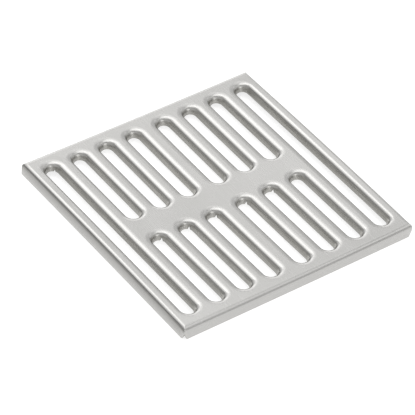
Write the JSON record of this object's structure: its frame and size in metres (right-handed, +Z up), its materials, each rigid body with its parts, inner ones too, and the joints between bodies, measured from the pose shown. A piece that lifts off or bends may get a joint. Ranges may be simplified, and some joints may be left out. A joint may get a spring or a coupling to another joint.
{
  "type": "floor drain grate",
  "caption": "Square lift-out grate for a floor drain, pressed from one stainless sheet with turned-down slot rims, folded edge flanges and elastomer pads beneath.",
  "frame": {"origin": "centre of the grate in the plane of the pads' lower faces, which is what it stands on", "axes": "+Z up out of the drain, +X across the slots, +Y along the slots towards the rear flange"},
  "size_m": [0.15, 0.15, 0.0082],
  "materials": {
    "stainless_sheet": "satin, fine grain, brighter on the bends",
    "elastomer_pad": "matte"
  },
  "bodies": {
    "root": {"grate_plate": "stainless_sheet", "pad_front_left": "elastomer_pad", "pad_front_right": "elastomer_pad", "pad_rear_left": "elastomer_pad", "pad_rear_right": "elastomer_pad"}
  },
  "joints": []
}
